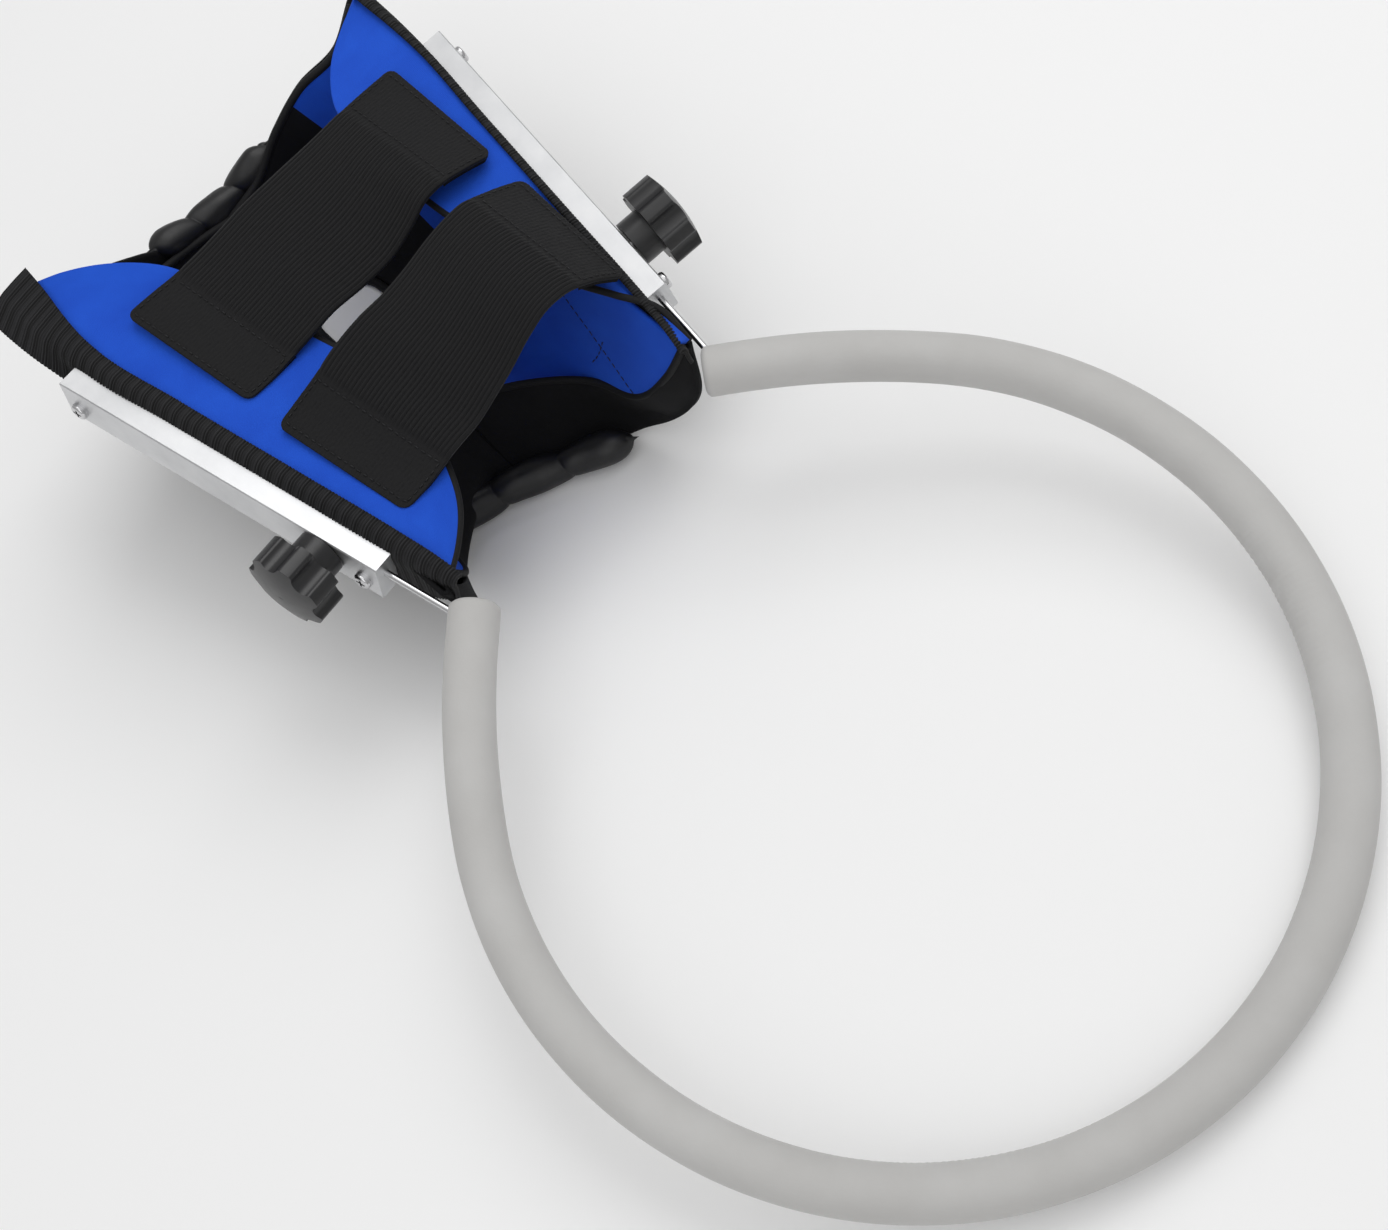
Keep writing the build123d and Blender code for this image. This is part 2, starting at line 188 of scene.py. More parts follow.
def tube(name, path, radius, sides=14, up=(0, 0, 1), flat=1.0, bulge=None, closed=False):
    """Closed round tube along a path. radius is a number or one value for each point."""
    path = np.asarray(path, float)
    tangent, a, b = frames_along(path, up)
    r = np.broadcast_to(np.asarray(radius, float), (len(path),))[:, None, None]
    angle = np.linspace(0, 2 * math.pi, sides, endpoint=False)
    ring = np.cos(angle)[None, :, None] * a[:, None, :] + flat * np.sin(angle)[None, :, None] * b[:, None, :]
    if bulge is not None:
        r = r + bulge(path, angle)[:, :, None]
    verts = (path[:, None, :] + ring * r).reshape(-1, 3)
    n = len(path)
    faces = []
    for i in range(n if closed else n - 1):
        for j in range(sides):
            k = (j + 1) % sides
            m = (i + 1) % n
            faces.append((i * sides + j, i * sides + k, m * sides + k, m * sides + j))
    length = np.r_[0, np.cumsum(np.linalg.norm(np.diff(path, axis=0), axis=1))]
    mean_r = float(np.mean(r))
    uv = np.stack(np.meshgrid(length, angle * mean_r, indexing="ij"), axis=2).reshape(-1, 2)
    if not closed:
        verts = np.r_[verts, path[:1] - tangent[:1] * mean_r * 0.35, path[-1:] + tangent[-1:] * mean_r * 0.35]
        uv = np.r_[uv, [[0, 0], [length[-1], 0]]]
        start, end = n * sides, n * sides + 1
        for j in range(sides):
            k = (j + 1) % sides
            faces.append((start, k, j))
            faces.append((end, (n - 1) * sides + j, (n - 1) * sides + k))
    return mesh_object(name, verts, faces, uv)


def mirrored(points):
    p = np.array(points, float)
    p[..., 1] *= -1
    return p


def wave(x, y, z, scale, seed=0.0):
    """Smooth noise between about -1 and 1."""
    return noise.noise(Vector((x * scale + seed, y * scale - seed, z * scale + 2 * seed)))


def ripple(grid, amount, scale, seed=0.0):
    """Pushes a grid along its normals by smooth noise."""
    n = normals(grid)
    flat = grid.reshape(-1, 3)
    h = np.array([wave(*p, scale, seed) for p in flat]).reshape(grid.shape[:2])
    return grid + n * (h * amount)[:, :, None]


# ---------------------------------------------------------------- materials
def material(name, color, rough, metallic=0.0, sheen=0.0, specular=0.5):
    m = bpy.data.materials.new(name)
    m.use_nodes = True
    bsdf = m.node_tree.nodes["Principled BSDF"]
    bsdf.inputs["Base Color"].default_value = (*color, 1)
    bsdf.inputs["Roughness"].default_value = rough
    bsdf.inputs["Metallic"].default_value = metallic
    bsdf.inputs["Sheen Weight"].default_value = sheen
    bsdf.inputs["Sheen Roughness"].default_value = 0.5
    bsdf.inputs["Specular IOR Level"].default_value = specular
    m.diffuse_color = (*color, 1)
    return m


class Shader:
    """Small helper to wire a material's texture nodes."""

    def __init__(self, mat):
        self.mat = mat
        self.tree = mat.node_tree
        self.bsdf = self.tree.nodes["Principled BSDF"]
        self.height = None

    def node(self, kind, **values):
        n = self.tree.nodes.new(kind)
        for key, value in values.items():
            if hasattr(n, key):
                setattr(n, key, value)
            else:
                n.inputs[key.replace("_", " ").title()].default_value = value
        return n

    def link(self, a, b):
        self.tree.links.new(a, b)

    def coords(self, kind="UV", scale=(1, 1, 1), rotation=(0, 0, 0)):
        tex = self.node("ShaderNodeTexCoord")
        mapping = self.node("ShaderNodeMapping")
        mapping.inputs["Scale"].default_value = scale
        mapping.inputs["Rotation"].default_value = rotation
        self.link(tex.outputs[kind], mapping.inputs["Vector"])
        return mapping.outputs["Vector"]

    def noise(self, coords, scale, detail=3.0, rough=0.55):
        n = self.node("ShaderNodeTexNoise")
        n.inputs["Scale"].default_value = scale
        n.inputs["Detail"].default_value = detail
        n.inputs["Roughness"].default_value = rough
        self.link(coords, n.inputs["Vector"])
        return n.outputs["Fac"]

    def waves(self, coords, scale, direction="X", distortion=0.0, profile="SIN"):
        n = self.node("ShaderNodeTexWave")
        n.wave_type = "BANDS"
        n.bands_direction = direction
        n.wave_profile = profile
        n.inputs["Scale"].default_value = scale
        n.inputs["Distortion"].default_value = distortion
        n.inputs["Detail"].default_value = 2.0
        self.link(coords, n.inputs["Vector"])
        return n.outputs["Fac"]

    def voronoi(self, coords, scale, feature="F1"):
        n = self.node("ShaderNodeTexVoronoi")
        n.feature = feature
        n.inputs["Scale"].default_value = scale
        self.link(coords, n.inputs["Vector"])
        return n.outputs["Distance"]

    def ramp(self, fac, stops):
        n = self.node("ShaderNodeValToRGB")
        ramp = n.color_ramp
        while len(ramp.elements) < len(stops):
            ramp.elements.new(0.5)
        for e, (at, color) in zip(ramp.elements, stops):
            e.position = at
            e.color = (*color, 1)
        self.link(fac, n.inputs["Fac"])
        return n.outputs["Color"]

    def math(self, op, a, b):
        n = self.node("ShaderNodeMath")
        n.operation = op
        for i, x in enumerate((a, b)):
            if isinstance(x, (int, float)):
                n.inputs[i].default_value = x
            else:
                self.link(x, n.inputs[i])
        return n.outputs[0]

    def map_range(self, fac, low, high):
        n = self.node("ShaderNodeMapRange")
        n.inputs["To Min"].default_value = low
        n.inputs["To Max"].default_value = high
        self.link(fac, n.inputs["Value"])
        return n.outputs["Result"]

    def color(self, out):
        self.link(out, self.bsdf.inputs["Base Color"])

    def rough(self, out):
        self.link(out, self.bsdf.inputs["Roughness"])

    def bump(self, fac, distance, strength=1.0):
        n = self.node("ShaderNodeBump")
        n.inputs["Distance"].default_value = distance
        n.inputs["Strength"].default_value = strength
        self.link(fac, n.inputs["Height"])
        if self.height is not None:
            self.link(self.height, n.inputs["Normal"])
        self.height = n.outputs["Normal"]
        self.link(self.height, self.bsdf.inputs["Normal"])


def shade(dark, light, mid=None):
    if mid is None:
        mid = tuple((a + b) / 2 for a, b in zip(dark, light))
    return [(0.25, dark), (0.5, mid), (0.75, light)]


def make_foam():
    m = material("foam", (0.5, 0.495, 0.485), 0.82, sheen=0.12)
    s = Shader(m)
    c = s.coords("Object")
    s.color(s.ramp(s.noise(c, 22, 4), [(0.3, (0.485, 0.478, 0.466)), (0.55, (0.515, 0.509, 0.498)),
                                       (0.72, (0.535, 0.53, 0.52))]))
    s.bump(s.noise(c, 900, 3, 0.6), 0.00012, 0.5)
    s.bump(s.voronoi(c, 420), 0.0001, 0.3)
    s.rough(s.map_range(s.noise(c, 60, 3), 0.72, 0.9))
    return m


def make_steel():
    m = material("rod_steel", (0.62, 0.62, 0.63), 0.16, metallic=1)
    s = Shader(m)
    c = s.coords("Object", (1, 1, 1))
    s.rough(s.map_range(s.noise(c, 300, 4), 0.12, 0.24))
    s.bump(s.noise(c, 700, 3), 0.00002, 0.3)
    return m


def make_plate_steel():
    m = material("plate_steel", (0.5, 0.5, 0.51), 0.38, metallic=1)
    s = Shader(m)
    c = s.coords("Object", (1, 1, 1))
    s.rough(s.map_range(s.noise(c, 90, 4), 0.3, 0.5))
    s.color(s.ramp(s.noise(c, 40, 3), shade((0.42, 0.42, 0.43), (0.56, 0.56, 0.57))))
    return m


def make_aluminium(name, sign):
    """Drawn bar: fine lines run along the rail, so the texture is turned with it."""
    m = material(name, (0.68, 0.685, 0.695), 0.42, metallic=1)
    s = Shader(m)
    turn = s.node("ShaderNodeMapping")
    turn.vector_type = "TEXTURE"
    turn.inputs["Rotation"].default_value = (0, TILT, -sign * FLARE)
    tex = s.node("ShaderNodeTexCoord")
    s.link(tex.outputs["Object"], turn.inputs["Vector"])
    stretch = s.node("ShaderNodeMapping")
    stretch.inputs["Scale"].default_value = (0.02, 1, 1)
    s.link(turn.outputs["Vector"], stretch.inputs["Vector"])
    lines = s.noise(stretch.outputs["Vector"], 2600, 3, 0.6)
    cloud = s.noise(s.coords("Object"), 45, 4)
    s.rough(s.map_range(s.math("ADD", s.math("MULTIPLY", lines, 0.5), s.math("MULTIPLY", cloud, 0.5)), 0.34, 0.54))
    s.color(s.ramp(cloud, [(0.3, (0.62, 0.625, 0.635)), (0.5, (0.67, 0.675, 0.685)), (0.7, (0.72, 0.723, 0.73))]))
    s.bump(lines, 0.00003, 0.35)
    return m


def make_plastic():
    m = material("knob_plastic", (0.012, 0.012, 0.013), 0.33)
    s = Shader(m)
    c = s.coords("Object")
    s.rough(s.map_range(s.noise(c, 130, 4), 0.26, 0.42))
    s.color(s.ramp(s.noise(c, 60, 3), shade((0.009, 0.009, 0.01), (0.017, 0.017, 0.018))))
    s.bump(s.noise(c, 1500, 2), 0.00003, 0.35)
    return m


def make_nylon():
    m = material("pad_nylon", (0.72, 0.7, 0.64), 0.5)
    s = Shader(m)
    c = s.coords("Object")
    s.color(s.ramp(s.noise(c, 200, 3), shade((0.66, 0.64, 0.58), (0.76, 0.74, 0.69))))
    s.bump(s.noise(c, 900, 2), 0.00003, 0.3)
    return m


def make_knit(name, dark, light, sheen, fine=1.0):
    """Neoprene's knitted face: fine loops in rows, a soft nap and slow changes of tone."""
    m = material(name, light, 0.86, sheen=sheen, specular=0.2)
    s = Shader(m)
    c = s.coords("UV", (1, 1, 1))
    loops = s.math("MULTIPLY", s.waves(c, 46 * fine, "X", 1.5), s.waves(c, 60 * fine, "Y", 1.5))
    fuzz = s.noise(c, 230, 4, 0.7)
    tone = s.noise(c, 3.2, 4)
    mix = s.math("ADD", s.math("MULTIPLY", fuzz, 0.6), s.math("MULTIPLY", tone, 0.4))
    s.color(s.ramp(mix, [(0.36, dark), (0.64, light)]))
    s.bump(loops, 0.00016, 0.6)
    s.bump(fuzz, 0.0002, 0.5)
    s.rough(s.map_range(fuzz, 0.78, 0.95))
    return m


def make_leather():
    m = material("soft_leather", (0.008, 0.008, 0.009), 0.4, specular=0.45)
    s = Shader(m)
    c = s.coords("Object")
    s.bump(s.voronoi(c, 620, "DISTANCE_TO_EDGE"), 0.0001, 0.5)
    s.bump(s.noise(c, 60, 4), 0.0008, 0.35)
    s.rough(s.map_range(s.noise(c, 240, 3), 0.34, 0.55))
    s.color(s.ramp(s.noise(c, 30, 3), shade((0.005, 0.005, 0.0055), (0.011, 0.011, 0.012))))
    return m


def make_elastic():
    """Woven elastic: the ribs are in the mesh; cross threads and fuzz are in the bump. The colour is darker in the
    grooves between the cross threads, which is painted shade, with random tone from the fuzz.
    """
    m = material("ribbed_elastic", (0.009, 0.009, 0.01), 0.8, sheen=0.03, specular=0.28)
    s = Shader(m)
    c = s.coords("UV")
    threads = s.waves(c, 62, "Y", 1.2)
    fuzz = s.noise(c, 260, 4, 0.7)
    s.bump(threads, 0.00012, 0.5)
    s.bump(fuzz, 0.00022, 0.5)
    s.color(s.ramp(s.math("MULTIPLY", threads, fuzz), [(0.1, (0.003, 0.003, 0.0035)), (0.5, (0.014, 0.014, 0.015))]))
    s.rough(s.map_range(fuzz, 0.7, 0.92))
    return m


def make_webbing():
    m = material("ribbed_webbing", (0.009, 0.009, 0.01), 0.72, sheen=0.02, specular=0.3)
    s = Shader(m)
    c = s.coords("UV")
    fuzz = s.noise(c, 240, 4, 0.7)
    s.bump(s.waves(c, 48, "Y", 0.8), 0.00012, 0.5)
    s.bump(fuzz, 0.00015, 0.4)
    # The colour follows the ribs, in step with the ribs in the mesh: painted shade in the valleys and a painted
    # highlight on the crests; the fuzz adds random tone.
    ribs = s.waves(c, 14.96, "X")
    s.color(s.ramp(s.math("MULTIPLY", ribs, fuzz), [(0.05, (0.002, 0.002, 0.0022)), (0.5, (0.022, 0.022, 0.024))]))
    s.rough(s.map_range(fuzz, 0.6, 0.85))
    return m


def make_binding():
    m = material("edge_binding", (0.007, 0.007, 0.008), 0.7, sheen=0.02, specular=0.25)
    s = Shader(m)
    c = s.coords("UV")
    s.bump(s.waves(c, 55, "X", 0.6), 0.00015, 0.5)
    s.bump(s.noise(c, 220, 3), 0.00012, 0.4)
    s.color(s.ramp(s.noise(c, 90, 3), shade((0.004, 0.004, 0.0045), (0.01, 0.01, 0.011))))
    return m


def make_hook():
    m = material("hook_pile", (0.006, 0.006, 0.007), 0.95, specular=0.12)
    s = Shader(m)
    c = s.coords("UV")
    s.bump(s.voronoi(c, 90), 0.0005, 0.8)
    s.bump(s.noise(c, 200, 4, 0.8), 0.0004, 0.6)
    s.color(s.ramp(s.noise(c, 120, 4), shade((0.005, 0.005, 0.005), (0.014, 0.014, 0.015))))
    return m


def make_thread():
    m = material("thread", (0.009, 0.009, 0.01), 0.6, specular=0.3)
    s = Shader(m)
    c = s.coords("Object")
    s.color(s.ramp(s.noise(c, 900, 2), shade((0.007, 0.007, 0.008), (0.024, 0.024, 0.026))))
    s.bump(s.noise(c, 1400, 2), 0.0001, 0.5)
    return m


FOAM = make_foam()
STEEL = make_steel()
PLATE = make_plate_steel()
PLASTIC = make_plastic()
NYLON = make_nylon()
BLUE = make_knit("blue_neoprene", (0.009, 0.066, 0.52), (0.016, 0.106, 0.68), 0.03)
# black neoprene of the shell and bib; the same material is also painted on the lining's lower middle as shade
BLACK = make_knit("black_neoprene_and_painted_shade", (0.004, 0.004, 0.0045), (0.009, 0.009, 0.01), 0.02)
LEATHER = make_leather()
ELASTIC = make_elastic()
WEBBING = make_webbing()
BINDING = make_binding()
HOOK = make_hook()
THREAD = make_thread()


def dress(obj, mat):
    obj.data.materials.clear()
    obj.data.materials.append(mat)
    return obj


def paint_node(node, mat):
    obj = frame["nodes"][node]
    for s in obj.material_slots:
        s.material = mat


for hand, sign in (("left", 1), ("right", -1)):
    paint_node(f"rail_{hand}", make_aluminium(f"drawn_aluminium_{hand}", sign))
    paint_node(f"backing_plate_{hand}", PLATE)
    paint_node(f"rail_screws_{hand}", STEEL)
    paint_node(f"rail_nuts_{hand}", STEEL)
    paint_node(f"knob_stud_{hand}", STEEL)
    paint_node(f"star_knob_{hand}", PLASTIC)
    paint_node(f"clamp_pad_{hand}", NYLON)
paint_node("hoop_rod", STEEL)

# ---------------------------------------------------------------- sizes shared with the CAD
FLAP_T = 2.5
STRAP_T = 2.5
PIPE_R = 1.9                       # radius of the piping round the soft edges


# ---------------------------------------------------------------- foam sleeve
FOAM_R = 12.5
HOOP_X, HOOP_R, HOOP_TURN = 6.5, 194.0, 125.0    # the round part: its centre, radius and half turn in degrees
FLANK_R, FLANK_FROM, FLANK_TO = 390.0, 215.0, 229.5
TAIL = 16.5                        # straight foam at each end
SLEEVE_POINTS, SLEEVE_SIDES = 760, 40


def hoop_path(count):
    """Middle line of the foam from its right end round the nose to its left end."""
    front = np.radians(np.linspace(0, HOOP_TURN, 120))
    arc = np.c_[HOOP_X + HOOP_R * np.cos(front), HOOP_R * np.sin(front)]
    turn = np.radians(np.linspace(FLANK_FROM, FLANK_TO, 24))[1:]
    first, last = math.radians(FLANK_FROM), np.radians(FLANK_TO)
    flank = arc[-1] + FLANK_R * np.c_[np.sin(turn) - math.sin(first), math.cos(first) - np.cos(turn)]
    tail = flank[-1] + np.array([[math.cos(last), math.sin(last)]]) * np.linspace(0, TAIL, 6)[1:, None]
    half = np.r_[arc, flank, tail]
    whole = np.r_[half[::-1] * (1, -1), half[1:]]
    step = np.r_[0, np.cumsum(np.linalg.norm(np.diff(whole, axis=0), axis=1))]
    s = np.linspace(0, step[-1], count)
    return np.c_[np.interp(s, step, whole[:, 0]), np.interp(s, step, whole[:, 1]), np.zeros(count)]


def crease(path, angle):
    """Small dents of the sleeve: compression creases inside the bend, and slow unevenness everywhere."""
    r = np.zeros((len(path), len(angle)))
    for i, (x, y, _) in enumerate(path):
        bearing = math.degrees(math.atan2(y, x - HOOP_X))
        zone = math.exp(-((bearing - 64) / 13) ** 2) + 0.35 * math.exp(-((bearing + 40) / 18) ** 2)
        length = math.radians(bearing) * HOOP_R
        for k, a in enumerate(angle):
            inner = max(0.0, -math.cos(a - 0.35)) ** 1.6
            pleat = math.sin(length * 0.95 + 2.2 * noise.noise(Vector((length * 0.05, a, 3)))) ** 2
            r[i, k] = -0.75 * zone * inner * pleat + 0.16 * wave(x, y, 9 * math.cos(a), 0.03, 4)
    return r


def make_sleeve():
    path = hoop_path(SLEEVE_POINTS)
    from_start = np.arange(SLEEVE_POINTS)
    ends = np.minimum(from_start, SLEEVE_POINTS - 1 - from_start) * 1.9
    radius = FOAM_R - 1.6 * np.clip(1 - ends / 3.0, 0, 1) ** 2
    return tube("foam_sleeve", path, radius, SLEEVE_SIDES, bulge=crease)


def hollow_ends(obj, path, sides):
    """Cuts the sleeve's two ends open round the rod: each end cap becomes a ring and a short bore."""
    mesh = obj.data
    bm = bmesh_of(mesh)
    bm.verts.ensure_lookup_table()
    poles = [bm.verts[len(path) * sides], bm.verts[len(path) * sides + 1]]
    rims = [[v for f in p.link_faces for v in f.verts if v is not p] for p in poles]
    for pole, rim, inward in zip(poles, rims, (1, -1)):
        rim = list(dict.fromkeys(rim))
        at = 0 if inward == 1 else len(path) - 1
        tangent = Vector(path[1] - path[0]) if inward == 1 else Vector(path[-2] - path[-1])
        tangent = (TURN.to_3x3() @ tangent).normalized()
        centre = DECK @ Vector(path[at])
        faces = list(pole.link_faces)
        bmesh.ops.delete(bm, geom=faces, context="FACES_ONLY")
        bm.verts.remove(pole)
        ring = sort_ring(rim)
        previous = ring
        for share, deep in ((0.82, -0.0006), (0.5, -0.0004), (0.26, 0.0002), (0.2, 0.0016), (0.19, 0.009)):
            new = [bm.verts.new(centre + (v.co - centre) * share + tangent * deep) for v in ring]
            for k in range(len(ring)):
                bm.faces.new((previous[k - 1], previous[k], new[k], new[k - 1]))
            previous = new
        bm.faces.new(previous)
    bmesh.ops.recalc_face_normals(bm, faces=bm.faces)
    for f in bm.faces:
        f.smooth = True
    bm.to_mesh(mesh)
    bm.free()


def bmesh_of(mesh):
    bm = bmesh.new()
    bm.from_mesh(mesh)
    return bm


def sort_ring(verts):
    """The vertices of an open rim in order, each joined to the next by an edge."""
    left = set(verts)
    ring = [verts[0]]
    left.discard(verts[0])
    while left:
        nxt = [e.other_vert(ring[-1]) for e in ring[-1].link_edges if e.other_vert(ring[-1]) in left]
        if not nxt:
            break
        ring.append(nxt[0])
        left.discard(nxt[0])
    return ring


sleeve = dress(make_sleeve(), FOAM)
hollow_ends(sleeve, hoop_path(SLEEVE_POINTS), SLEEVE_SIDES)
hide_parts("foam_hoop")
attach(sleeve, "hoop")

# ---------------------------------------------------------------- flaps
SIDE = np.array([math.sin(FLARE), math.cos(FLARE), 0])
AHEAD = np.array([math.cos(FLARE), -math.sin(FLARE), 0])
FOOT = np.array([-233.0, leg_y(-233), 0])      # the leg's axis at the rail's front end


def from_leg(along, out, z):
    """Left-hand point: `along` ahead of the rail's front end, `out` from the leg's axis, at height z."""
    return FOOT + AHEAD * along + SIDE * out + np.array([0, 0, z])


def at_leg(x, out, z):
    """Left-hand point at station x of the leg's axis, moved sideways by out."""
    return np.array([x, leg_y(x) + out / math.cos(FLARE), z])


FLAP_CURVES = {
    "left": [(-486, 128, 11), (-474, 104, 11.5), (-459, 82, 12), (-440, 67, 12), (-400, 61, 12), (-357, 58, 12),
             (-325, 60, 13), (-292, 64, 14), (-268, 70, 14), (-246, 79, 13), (-224, 88, 11), (-203, 86, 6)],
    "right": [(-489, 112, 10.5), (-478, 92, 11.5), (-462, 73, 12), (-440, 56, 11), (-405, 45, 8), (-350, 32, 6),
              (-320, 27, 7), (-285, 29, 8), (-249, 38, 7), (-228, 50, 5.5), (-214, 65, 6), (-204, 80, 8)],
}
FLAP_OUT = {"left": -10.5, "right": -12.0}     # a flap's outer edge, from the leg's axis


def flap_grid(hand, nu=150, nv=46):
    inner = spline(FLAP_CURVES[hand], nu)
    grid = np.zeros((nu, nv, 3))
    ramp = np.linspace(0, 1, nv)[:, None]
    for i, p in enumerate(inner):
        outer = at_leg(p[0], FLAP_OUT[hand], 10.2)
        if i in (0, nu - 1):
            outer = outer * 0.96 + p * 0.04
        row = outer * (1 - ramp) + p * ramp
        sag = np.sin(ramp[:, 0] * math.pi) * 0.9
        row[:, 2] = 10.2 + (p[2] - 10.2) * (ramp[:, 0] ** 1.7) - sag
        grid[i] = row
    grid = ripple(grid, 0.7, 0.02, 3 if hand == "left" else 8)
    return grid if hand == "left" else mirrored(grid)[::-1]


def stretch_across(obj):
    """Bakes a soft piece's placement into its mesh."""
    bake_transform(obj)


for hand in ("left", "right"):
    grid = flap_grid(hand)
    flap = dress(thick_sheet(f"flap_cloth_{hand}", grid, FLAP_T), BLUE)
    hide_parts(f"flap_{hand}")
    edge = grid[:, -1]
    keep = edge if hand == "left" else edge[::-1]
    front = keep[int(len(keep) * 0.42):]
    binding = dress(tube(f"flap_binding_{hand}", front, PIPE_R, 12, flat=0.85), BINDING)
    stretch_across(flap)
    stretch_across(binding)

# ---------------------------------------------------------------- webbing bands along the rails
WEB_T = 2.0
# Along the rail from its front end, then the lower edge, the fold and the inner edge as (out, z).
WEB_SECTIONS = {
    "left": [
        (36, (-8.5, -6), (-11, 10.5), (-13, 9)),
        (20, (-5.5, -16), (-9.6, 12.5), (-12.5, 12)),
        (0, (-3.7, -22), (-9.2, 13), (-12.5, 12.4)),
        (-70, (-3.7, -22), (-9.2, 13), (-12.5, 12.4)),
        (-140, (-3.7, -22), (-9.2, 13), (-12.5, 12.4)),
        (-202, (-3.7, -22), (-9.2, 13.2), (-12.8, 12.6)),
        (-222, (-4.5, -20), (-10.5, 13.6), (-15, 13)),
        (-242, (-8, -14), (-12.5, 14.2), (-18, 13.4)),
        (-259, (-10, -9), (-14.5, 14.4), (-20, 13.6)),
    ],
    "right": [
        (36, (-8.5, -6), (-11.5, 10.5), (-16, 8)),
        (20, (-5.5, -16), (-10.5, 12.5), (-17, 12)),
        (0, (-3.7, -22), (-9.8, 13.2), (-17.5, 12.6)),
        (-60, (-3.7, -22), (-9.8, 13.2), (-18, 12.6)),
        (-140, (-3.7, -22), (-9.8, 13.2), (-18.5, 12.6)),
        (-194, (-3.7, -22), (-9.9, 13.4), (-19.5, 12.8)),
        (-208, (-2.4, -6), (-11, 14), (-22, 13)),
        (-222, (-1, 7), (-12, 14.5), (-26, 13)),
        (-242, (-3, 9), (-16, 14.8), (-33, 13.2)),
        (-259, (-6, 9), (-20, 14.6), (-38, 13.2)),
    ],
}
RIB_PITCH = 2.1


def web_grid(hand, nu=840, across=26):
    rows = []
    for along, low, fold, inner in WEB_SECTIONS[hand]:
        low, fold, inner = (np.array(p, float) for p in (low, fold, inner))
        knee_a = fold + (low - fold) * 0.09
        knee_b = fold + (inner - fold) * 0.3
        line = [low, (low + fold) / 2, knee_a, knee_b, inner]
        rows.append([from_leg(along, *p) for p in line])
    grid = net(rows, nu, across)
    length = grid_uv(grid)[:, 0, 0]
    ribs = 0.5 - 0.5 * np.cos(length / RIB_PITCH * 2 * math.pi)
    ribs = np.sqrt(np.maximum(ribs, 0))
    return grid, ribs


for hand in ("left", "right"):
    grid, ribs = web_grid(hand)
    if hand == "right":
        grid, ribs = mirrored(grid)[::-1], ribs[::-1]
    n = normals(grid)
    if n[len(n) // 2, -3, 2] < 0:
        n = -n
    half = WEB_T / 2
    lift = (half - 0.6 + 0.95 * ribs)[:, None, None]
    top, bottom = grid + n * lift, grid - n * half
    facing = np.cross(np.gradient(top, axis=0), np.gradient(top, axis=1))[len(n) // 2, -3, 2]
    if facing < 0:
        top, bottom = top[:, ::-1], bottom[:, ::-1]
    band = dress(slab(f"band_{hand}", top, bottom), WEBBING)
    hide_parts(f"webbing_{hand}")
    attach(band, f"rail_{hand}")

# ---------------------------------------------------------------- straps
# Rear and front edges of each strap, from its left end to its right one.
STRAP_EDGES = {
    "rear": ([(-430, 101, 16.5), (-430, 65, 18), (-429.5, 46, 17.8), (-429.5, 17, 18), (-429.5, -9, 17.5),
              (-429, -23, 16.3), (-428.5, -42, 15.2), (-428.5, -57, 15.2), (-429, -71, 16), (-429.5, -88.5, 16.5)],
             [(-349.5, 97, 17), (-350, 82, 23), (-351, 64.5, 27), (-351, 54.5, 26.5), (-349.5, 39, 19.5),
              (-348.5, 24, 14), (-348.5, 4.2, 12.8), (-348.8, -19.8, 14.5), (-348.5, -30.5, 13.2),
              (-347.8, -49.5, 11.5), (-347.2, -63, 10.8), (-347.5, -79.5, 11.2)]),
    "front": ([(-325.5, 95.5, 18.5), (-327.4, 75, 30), (-328.5, 59, 36.5), (-328.4, 47.5, 36.8),
               (-328.2, 35.5, 35), (-327.5, 18, 31), (-327, 1.8, 29), (-327.2, -15.3, 28.6), (-326.7, -34.2, 25.5),
               (-325.9, -48, 21.2), (-325.5, -65.2, 16), (-324.5, -79.8, 13.2)],
              [(-245.6, 88, 19.5), (-247.8, 70.4, 35.5), (-249, 54.7, 44), (-249.2, 42.6, 45), (-248.4, 27.9, 40),
               (-247, 11, 30.7), (-246.3, -0.8, 25), (-245.4, -17, 18.5), (-245.2, -29.5, 16.8),
               (-245, -38, 15), (-244.3, -52, 12), (-244, -69.7, 10.5)]),
}
STRAP_RIBS = 35
PATCH_LEN = 31.0


def strap_grid(place, nu=230):
    rear, front = (spline(e, nu) for e in STRAP_EDGES[place])
    nv = STRAP_RIBS * 6 + 1
    v = np.linspace(0, 1, nv)[None, :, None]
    grid = rear[:, None, :] * (1 - v) + front[:, None, :] * v
    crown = np.sin(v[0, :, 0] * math.pi)
    middle = np.sin(np.linspace(0, 1, nu) * math.pi) ** 2
    grid[:, :, 2] += 1.3 * crown[None, :] * middle[:, None]
    return grid


def round_corners(grid, radius):
    """Pulls a grid's four corners in to a rounded shape by shortening its last rows near the sides."""
    out = grid.copy()
    nu, nv = grid.shape[:2]
    across = grid_uv(grid)[0, :, 1]
    along = grid_uv(grid)[:, 0, 0]
    d = np.minimum(across, across[-1] - across)
    trim = np.where(d < radius, radius - np.sqrt(np.maximum(radius**2 - (radius - d) ** 2, 0)), 0)
    for j in range(nv):
        if trim[j] > 0:
            s = np.linspace(trim[j], along[-1] - trim[j], nu)
            for k in range(3):
                out[:, j, k] = np.interp(s, along, grid[:, j, k])
    return out


